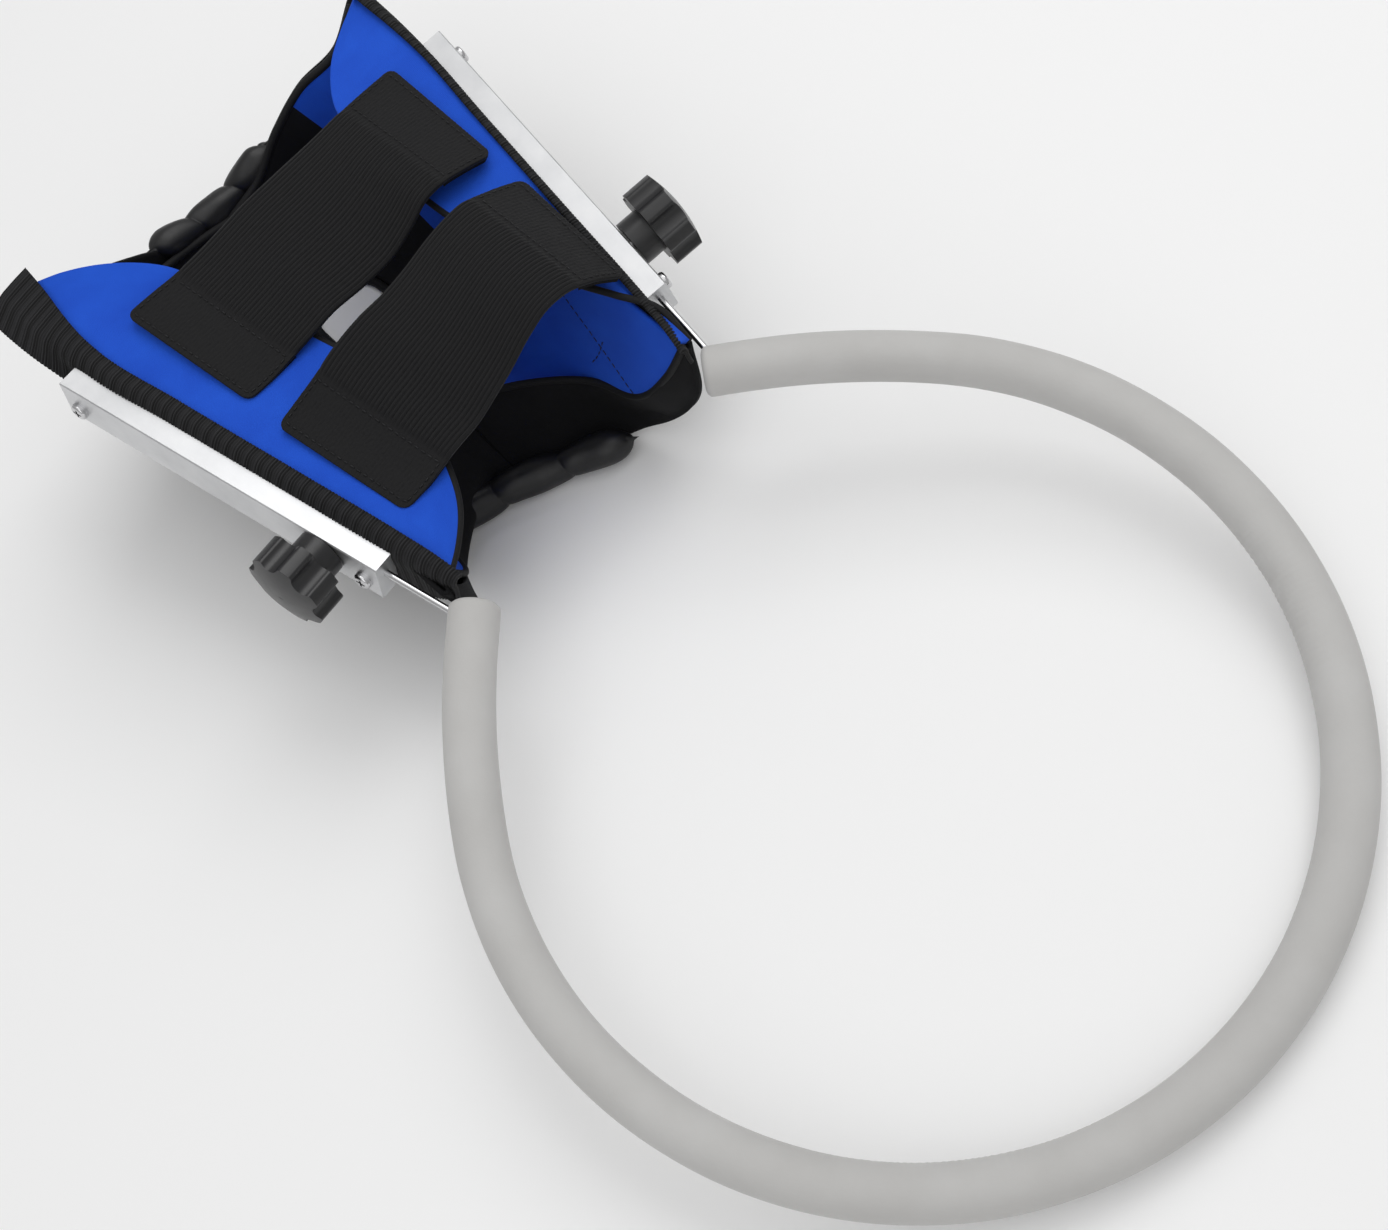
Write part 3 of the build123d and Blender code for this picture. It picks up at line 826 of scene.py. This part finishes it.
def make_strap(place):
    grid = round_corners(strap_grid(place), 5)
    uv = grid_uv(grid)
    nu, nv = grid.shape[:2]
    n = normals(grid)
    if n[nu // 2, nv // 2, 2] < 0:
        n = -n
    along = uv[:, 0, 0]
    total = along[-1]
    inside = np.clip((np.minimum(along, total - along) - PATCH_LEN) / 5, 0, 1)
    inside = inside * inside * (3 - 2 * inside)
    rib = np.abs(np.sin(np.linspace(0, STRAP_RIBS * math.pi, nv))) ** 0.7
    edge_dip = np.clip(np.minimum(np.arange(nv), nv - 1 - np.arange(nv)) / 4, 0, 1)
    height = (0.15 + 0.8 * inside[:, None]) * rib[None, :] * edge_dip[None, :]
    rough = np.array([[noise.noise(Vector((a * 0.9, b * 0.9, 5))) for b in uv[0, :, 1]] for a in along])
    height = height + (0.12 + 0.22 * (1 - inside[:, None])) * rough
    dip = (1 - inside[:, None]) * 0.5
    top = grid + n * (STRAP_T / 2 - 0.4 + height - dip)[:, :, None]
    bottom = grid - n * (STRAP_T / 2)
    if np.cross(np.gradient(top, axis=0), np.gradient(top, axis=1))[nu // 2, nv // 2, 2] < 0:
        top, bottom, uv = top[:, ::-1], bottom[:, ::-1], uv[:, ::-1]
    obj = dress(slab(f"strap_{place}_elastic", top, bottom, uv), ELASTIC)
    return obj, grid, n


def patch_grid(grid, from_left, length, inset):
    """The part of a strap's grid under one end, pulled in by inset from its edges."""
    along = grid_uv(grid)[:, 0, 0]
    across = grid_uv(grid)[0, :, 1]
    if from_left:
        s = np.linspace(inset, length, 26)
    else:
        s = np.linspace(along[-1] - length, along[-1] - inset, 26)
    t = np.linspace(inset, across[-1] - inset, 44)
    rows = np.stack([[np.interp(s, along, grid[:, j, k]) for k in range(3)] for j in range(grid.shape[1])])
    out = np.zeros((26, 44, 3))
    for i in range(26):
        for k in range(3):
            out[i, :, k] = np.interp(t, across, rows[:, k, i])
    return out


def stitches(name, loops, length=2.6, gap=1.5, radius=0.34):
    """Rows of short sewn stitches along the given paths, as one mesh."""
    verts, faces = [], []
    for path in loops:
        path = np.asarray(path, float)
        s = np.r_[0, np.cumsum(np.linalg.norm(np.diff(path, axis=0), axis=1))]
        at = 0.6
        while at + length < s[-1]:
            ts = np.linspace(at, at + length, 5)
            mid = np.stack([np.interp(ts, s, path[:, k]) for k in range(3)], axis=1)
            mid[:, 2] += np.array([-0.35, 0.12, 0.2, 0.12, -0.35])
            _, a, b = frames_along(mid)
            base = len(verts)
            for p, x, y in zip(mid, a, b):
                for q in range(6):
                    w = q * math.pi / 3
                    verts.append(p + radius * (math.cos(w) * x + math.sin(w) * y))
            for i in range(4):
                for q in range(6):
                    r = (q + 1) % 6
                    faces.append((base + i * 6 + q, base + i * 6 + r, base + i * 6 + 6 + r, base + i * 6 + 6 + q))
            faces.append(tuple(base + q for q in range(5, -1, -1)))
            faces.append(tuple(base + 24 + q for q in range(6)))
            at += length + gap
    return dress(mesh_object(name, verts, faces), THREAD)


def patch_stitches(grid, n, from_left):
    """A sewn rectangle, as paths on top of a strap."""
    along = grid_uv(grid)[:, 0, 0]
    across = grid_uv(grid)[0, :, 1]
    top = grid + n * (STRAP_T / 2 - 0.62)

    def at(s, t):
        i = np.interp(s if from_left else along[-1] - s, along, np.arange(len(along)))
        j = np.interp(t, across, np.arange(len(across)))
        return top[int(round(i)), int(round(j))]

    near, far, low, high = 3.5, PATCH_LEN - 1.5, 3.5, across[-1] - 3.5
    corners = [(near, low), (near, high), (far, high), (far, low), (near, low)]
    paths = []
    for a, b in zip(corners, corners[1:]):
        paths.append([at(a[0] + (b[0] - a[0]) * q, a[1] + (b[1] - a[1]) * q) for q in np.linspace(0, 1, 40)])
    return paths


for place in ("rear", "front"):
    strap, grid, n = make_strap(place)
    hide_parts(f"strap_{place}", f"strap_{place}_anchor")
    left_patch = patch_grid(grid, True, PATCH_LEN, 0.8)
    right_patch = patch_grid(grid, False, PATCH_LEN, 0.8)
    for label, patch, node, body in (("hook", left_patch, "hook_patch", f"strap_{place}"),
                                     ("sewn", right_patch, "sewn_patch", "sling")):
        pn = normals(patch)
        if pn[10, 20, 2] < 0:
            pn = -pn
        top, bottom = patch - pn * (STRAP_T / 2), patch - pn * (STRAP_T / 2 + 2.0)
        if np.cross(np.gradient(top, axis=0), np.gradient(top, axis=1))[10, 20, 2] < 0:
            top, bottom = top[:, ::-1], bottom[:, ::-1]
        pad = dress(slab(f"strap_{place}_{label}_pile", top, bottom), HOOK)
        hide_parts(f"strap_{place}_{node}")
        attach(pad, body)
    left_thread = stitches(f"strap_{place}_left_thread", patch_stitches(grid, n, True))
    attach(left_thread, f"strap_{place}")
    right_thread = stitches(f"strap_{place}_right_thread", patch_stitches(grid, n, False))
    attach(right_thread, "sling")
    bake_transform(strap)

# ---------------------------------------------------------------- sling: lining, shell and bib
# Each row runs from the top of the left wall down to the middle of the base. The rows go from rear to front.
LINING_ROWS = [
    [(-484, 119, 7), (-483, 96, -12), (-490, 73, -22), (-491, 50, -36), (-489, 24, -56), (-488, 0, -62)],
    [(-470, 119, 7), (-470, 99, -25), (-472, 76, -60), (-473, 52, -90), (-473, 26, -98), (-473, 0, -99)],
    [(-450, 116, 7), (-450, 97, -35), (-450, 75, -80), (-450, 53, -113), (-450, 28, -121.5), (-450, 0, -122)],
    [(-400, 108, 7), (-400, 91, -32), (-400, 70, -75), (-400, 52, -105), (-400, 30, -112.8), (-400, 0, -113)],
    [(-350, 99, 7), (-350, 84, -30), (-350, 66, -68), (-350, 51, -95), (-350, 28, -103), (-350, 0, -103)],
    [(-310, 92, 7), (-309, 79, -28), (-308, 65, -58), (-312, 52, -80), (-325, 28, -88), (-335, 0, -88)],
    [(-262, 84, 6), (-260, 75, -24), (-262, 66, -48), (-275, 55, -66), (-300, 28, -69), (-318, 0, -70)],
    [(-204, 83, 4), (-211, 73, -22), (-228, 64, -50), (-259, 56, -59), (-287, 29, -60), (-306, 0, -60)],
]
SHELL_ROWS = [
    [(-489, 122, 7), (-489, 100, -14), (-496, 76, -26), (-497, 52, -42), (-495, 25, -62), (-494, 0, -68)],
    [(-473, 123, 7), (-474, 104, -27), (-476, 80, -63), (-477, 56, -95), (-477, 28, -103), (-477, 0, -104)],
    [(-451, 120, 7), (-452, 101, -38), (-453, 79, -85), (-453, 57, -120), (-453, 30, -127), (-453, 0, -127.3)],
    [(-400, 111.5, 7), (-400, 95, -35), (-400, 74, -79), (-400, 56, -111.5), (-400, 31, -118), (-400, 0, -118.2)],
    [(-350, 103, 7), (-350, 88, -33), (-350, 70, -72), (-350, 55.5, -102.5), (-350, 30, -109.2), (-350, 0, -109.4)],
    [(-300, 94.5, 7), (-300, 82, -30), (-300, 68, -64), (-300, 56, -93.5), (-300, 30, -100.4), (-300, 0, -100.6)],
]
# The front edge of the base runs further back on the right, so its rows differ from side to side.
SHELL_FRONT = {
    "left": [[(-258, 88, 6), (-256, 80, -28), (-252, 70, -58), (-256, 58, -87), (-272, 32, -95), (-284, 0, -97)],
             [(-203, 86, 4), (-195, 79, -28), (-208, 71, -60), (-228, 60, -82), (-247, 30, -88), (-262, 0, -90)]],
    "right": [[(-258, 88, 6), (-256, 80, -28), (-262, 70, -58), (-288, 58, -92), (-294, 32, -99), (-284, 0, -97)],
              [(-203, 86, 4), (-197, 79, -28), (-220, 71, -60), (-272, 58, -88), (-274, 30, -92), (-262, 0, -90)]],
}
BIB_MIDDLE = [
    [(-202, 84, 4), (-203, 76.5, -23), (-218, 68.5, -54), (-247, 60, -68), (-275, 32, -70), (-291, 0, -71)],
    [(-202, 85, 4), (-199, 78.5, -26), (-212, 71, -59), (-240, 61, -78), (-262, 32, -81), (-277, 0, -82)],
]
# The right wall's rear edge is lower than the left one's, so that it stays hidden behind its flap.
LINING_REAR_RIGHT = [(-476, 117, 5), (-476, 97, -22), (-481, 74, -42), (-487, 50, -52), (-489, 24, -58), (-488, 0, -62)]
HOLES = {"left": (17.0, 50.0), "right": (-34.0, 36.0)}
HOLE_X, HOLE_LEN = -412.0, 84.0
CLOTH_T, BIB_T = 2.4, 2.0


def slot_outline(length, width, count=26):
    """Corner points of a slot along X about the origin, going round it once."""
    r = width / 2
    reach = length / 2 - r
    turn = np.linspace(-math.pi / 2, math.pi / 2, count)
    right = np.c_[reach + r * np.cos(turn), r * np.sin(turn)]
    return np.r_[right, -right]


def hole_cutter(hand, grow):
    middle, width = HOLES[hand]
    ring = slot_outline(HOLE_LEN + grow, width + grow)
    n = len(ring)
    low = np.c_[ring[:, 0] + HOLE_X, ring[:, 1] + middle, np.full(n, -150)]
    high = np.c_[ring[:, 0] + HOLE_X, ring[:, 1] + middle, np.full(n, -90)]
    faces = [(k, (k + 1) % n, n + (k + 1) % n, n + k) for k in range(n)]
    faces += [tuple(range(n))[::-1], tuple(range(n, 2 * n))]
    return mesh_object("cutter", np.r_[low, high], faces, smooth=False, on_floor=False)


def cut_holes(obj, grow=0.0):
    for hand in HOLES:
        cutter = hole_cutter(hand, grow)
        mod = obj.modifiers.new("hole", "BOOLEAN")
        mod.operation = "DIFFERENCE"
        mod.object = cutter
        settle(obj)
        bpy.data.objects.remove(cutter)


def settle(obj):
    """Applies an object's modifiers to its mesh."""
    view = bpy.context.evaluated_depsgraph_get()
    view.update()
    mesh = bpy.data.meshes.new_from_object(obj.evaluated_get(view))
    obj.modifiers.clear()
    obj.data = mesh


def facing_up(top, bottom):
    """Orders a slab's two grids so that its faces point outwards."""
    i, j = top.shape[0] // 2, top.shape[1] // 2
    n = np.cross(np.gradient(top, axis=0), np.gradient(top, axis=1))[i, j]
    if n.dot((top - bottom)[i, j]) < 0:
        return top[:, ::-1], bottom[:, ::-1]
    return top, bottom


def layer(name, rows, hand, thickness, rough, nu=130, nv=80, seed=1.0, holes=True):
    grid = ripple(net(rows, nu, nv), rough[0], rough[1], seed if hand == "left" else seed + 5)
    grid[:, -1, 1] = 0
    clear = thickness / 2 + (3.4 if name == "lining" else 0.4)
    grid[:, :, 2] = np.maximum(grid[:, :, 2], floor_z(grid[:, :, 0]) + clear / math.cos(TILT))
    if hand == "right":
        grid = mirrored(grid)
    n = normals(grid)
    inside = np.array([0, 0, 0]) - grid[nu // 2, nv // 3]
    if n[nu // 2, nv // 3].dot(inside) < 0:
        n = -n
    n[:, -1, 1] = 0
    top, bottom = facing_up(grid + n * thickness / 2, grid - n * thickness / 2)
    obj = slab(f"{name}_{hand}", top, bottom)
    if holes:
        cut_holes(obj, 1.0 if name == "lining" else 0.0)
    return obj, grid, n


PAINTED_SHADE_HALF, PAINTED_SHADE_FRONT = 0.92, -318   # how far the painted shade (the black) reaches up the wall, in texture units, and forward


def paint_lining_shade(lining):
    """Paints shade on the lining: its lower middle gets the black material, standing in for the deep shadow there."""
    lining.data.materials.append(BLACK)
    uv = lining.data.uv_layers["uv"].data
    back = DECK.inverted()
    across = [sum(uv[k].uv.y for k in face.loop_indices) / face.loop_total for face in lining.data.polygons]
    centres = [back @ face.center for face in lining.data.polygons]
    middle = across[min(range(len(centres)), key=lambda k: abs(centres[k].y))]
    for face, at, v in zip(lining.data.polygons, centres, across):
        if abs(v - middle) < PAINTED_SHADE_HALF and at.x < PAINTED_SHADE_FRONT:
            face.material_index = 1


def seam_on(grid, n, start, end, lift, count=70):
    """A path on a grid's inner face between the grid points nearest to two places."""
    ends = [np.unravel_index(np.argmin(np.linalg.norm(grid - np.array(q), axis=2)), grid.shape[:2])
            for q in (start, end)]
    path = []
    for t in np.linspace(0, 1, count):
        i, j = (ends[0][k] + (ends[1][k] - ends[0][k]) * t for k in (0, 1))
        a, b = int(i), int(j)
        c, d = min(a + 1, grid.shape[0] - 1), min(b + 1, grid.shape[1] - 1)
        u, v = i - a, j - b
        weights = (((a, b), (1 - u) * (1 - v)), ((c, b), u * (1 - v)), ((a, d), (1 - u) * v), ((c, d), u * v))
        path.append(sum((grid[at] + n[at] * lift) * w for at, w in weights))
    return path


for hand in ("left", "right"):
    front = [(-216, 83, 1), (-220, 73, -24), *LINING_ROWS[-1][2:]]
    rows = LINING_ROWS if hand == "left" else [LINING_REAR_RIGHT, *LINING_ROWS[1:-1], front]
    lining, grid, n = layer("lining", rows, hand, CLOTH_T, (1.1, 0.022), seed=11)
    dress(lining, BLUE)
    # painted shade: the lining's lower middle is made black, standing in for deep shadow
    paint_lining_shade(lining)
    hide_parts("sling_lining")
    piping = dress(tube(f"lip_piping_{hand}", grid[-1] + n[-1] * 0.4, PIPE_R + 0.1, 12), BINDING)
    rear_binding = dress(tube(f"rear_binding_{hand}", grid[0], PIPE_R + 0.4, 12), BINDING)
    shell, _, _ = layer("shell", [*SHELL_ROWS, *SHELL_FRONT[hand]], hand, CLOTH_T, (1.3, 0.02), seed=21)
    dress(shell, BLACK)
    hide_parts("sling_shell")
    bib_rows = [LINING_ROWS[-1], *BIB_MIDDLE, SHELL_FRONT[hand][-1]]
    bib, _, _ = layer("bib", bib_rows, hand, BIB_T, (2.0, 0.03), nu=46, nv=110, seed=31, holes=False)
    dress(bib, BLACK)
    sewn = [piping, rear_binding]
    if hand == "left":
        seams = [seam_on(grid, n, (-230, 62, -49), (-318, 84, -18), 1.3),
                 seam_on(grid, n, (-262, 63, -52), (-256, 72, -32), 1.3, 20)]
        sewn.append(stitches("lining_seam_left", seams, radius=0.3))
    for piece in (lining, *sewn, shell, bib):
        stretch_across(piece)

# ---------------------------------------------------------------- padded rolls and leg-hole rims
ROLL_R = 9.0


def lumps(path, angle, depth, period, twist, seed):
    """Gathers across a padded roll, with soft lumps between them."""
    length = np.r_[0, np.cumsum(np.linalg.norm(np.diff(path, axis=0), axis=1))]
    out = np.zeros((len(path), len(angle)))
    for i, s in enumerate(length):
        for k, a in enumerate(angle):
            phase = s / period + twist * math.sin(a)
            fold = abs(math.sin(phase * math.pi)) ** 0.45 - 1
            out[i, k] = depth * fold + 0.9 * noise.noise(Vector((s * 0.06, math.cos(a), math.sin(a) + seed)))
    return out


def rounded(count, radius):
    """Radius along a roll whose two ends close in a soft dome."""
    end = np.minimum(np.arange(count), count - 1 - np.arange(count)) / 22
    return radius * np.sqrt(np.clip(1 - (1 - np.clip(end, 0, 1)) ** 2, 0.06, 1))


def floor_point(x, y, lift):
    """Deck point above (x, y) at a height of lift from the floor."""
    return np.array([x, y, floor_z(x) + lift / math.cos(TILT)])


FRONT_HUB, FRONT_ROLL_R, FRONT_ENDS = (-27.0, -108.0), 253.0, (141, 167.5)    # ends as bearings from the hub
REAR_ROLL_X, REAR_HUB_Z, REAR_ROLL_R, REAR_HALF = -504.1, 25, 85, 32
ROLL_POINTS = 170
turns = np.radians(np.linspace(*FRONT_ENDS, ROLL_POINTS))
hub = floor_point(*FRONT_HUB, ROLL_R)
along_floor = np.array([math.cos(TILT), 0, math.sin(TILT)])
front_path = np.array([hub + FRONT_ROLL_R * (math.cos(a) * along_floor + math.sin(a) * np.array([0, 1, 0]))
                       for a in turns])
# The left end rises to meet the bib, and both rolls are drawn against the shell.
front_path[:, 2] += 5.0 * np.clip((front_path[:, 1] - 15) / 36, 0, 1) ** 2
front_path[:, 0] -= 2.5
front_roll = dress(tube("front_roll_pad", front_path, rounded(ROLL_POINTS, ROLL_R + 0.6), 36,
                        bulge=lambda p, a: lumps(p, a, 2.4, 39, 0.08, 2)), LEATHER)
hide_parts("front_roll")
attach(front_roll, "sling")

turns = np.radians(np.linspace(-REAR_HALF, REAR_HALF, ROLL_POINTS))
rear_path = np.array([(REAR_ROLL_X, REAR_ROLL_R * math.sin(a), REAR_HUB_Z - REAR_ROLL_R * math.cos(a))
                      for a in turns])
rear_path += (5.5, 0, -1.5)
rear_roll = dress(tube("rear_roll_pad", rear_path, rounded(ROLL_POINTS, ROLL_R + 0.6), 36, up=(1, 0, 0),
                       bulge=lambda p, a: lumps(p, a, 3.4, 31, 0.1, 7)), LEATHER)
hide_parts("rear_roll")
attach(rear_roll, "sling")

for hand, (middle, width) in HOLES.items():
    ring = slot_outline(HOLE_LEN - 5, width - 5, 40)
    ring = np.r_[ring, ring[:1]]
    path = np.array([floor_point(HOLE_X + x, middle + y, 2.9) for x, y in spline(ring, 180)])
    rim = dress(tube(f"leg_rim_pad_{hand}", path[:-1], 2.6, 16, closed=True,
                     bulge=lambda p, a: lumps(p, a, 0.25, 9, 0.1, 4) * 0.6), BINDING)
    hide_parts(f"leg_rim_{hand}")
    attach(rim, "sling")

# ---------------------------------------------------------------- floor, light and camera
floor_mat = material("studio_floor", (0.93, 0.93, 0.93), 0.9)
bpy.ops.mesh.primitive_plane_add(size=12, location=(0, 0, 0))
floor = bpy.context.object
floor.name = "floor"
floor.data.materials.append(floor_mat)


def area_light(name, place, size, power, target=(0, 0, 0.05)):
    light = bpy.data.lights.new(name, "AREA")
    light.shape = "SQUARE"
    light.size = size
    light.energy = power
    obj = bpy.data.objects.new(name, light)
    bpy.context.scene.collection.objects.link(obj)
    obj.location = place
    obj.rotation_euler = (Vector(target) - Vector(place)).to_track_quat("-Z", "Y").to_euler()
    return obj


area_light("key", (-0.5, 1.1, 1.9), 1.6, 16)
area_light("fill", (1.3, -1.2, 1.6), 1.8, 8.5)
area_light("top", (0.0, 0.0, 2.4), 2.4, 13)

world = bpy.data.worlds.new("studio")
bpy.context.scene.world = world
world.use_nodes = True
world.node_tree.nodes["Background"].inputs["Color"].default_value = (1, 1, 1, 1)
world.node_tree.nodes["Background"].inputs["Strength"].default_value = 0.46
bpy.context.scene.view_settings.view_transform = "Standard"

CAMERA_PLACE = Vector((176.5, -183.6, 819.8))
CAMERA_TURN = Matrix(((0.7274, -0.6072, 0.3197), (0.6769, 0.7112, -0.1897), (-0.1122, 0.3544, 0.9283)))
camera_data = bpy.data.cameras.new("camera")
camera_data.sensor_width = 36
camera_data.lens = 49.28
camera_data.clip_start = 0.01
camera = bpy.data.objects.new("camera", camera_data)
bpy.context.scene.collection.objects.link(camera)
camera.matrix_world = Matrix.Translation(DECK @ CAMERA_PLACE) @ TURN @ CAMERA_TURN.to_4x4()
bpy.context.scene.camera = camera
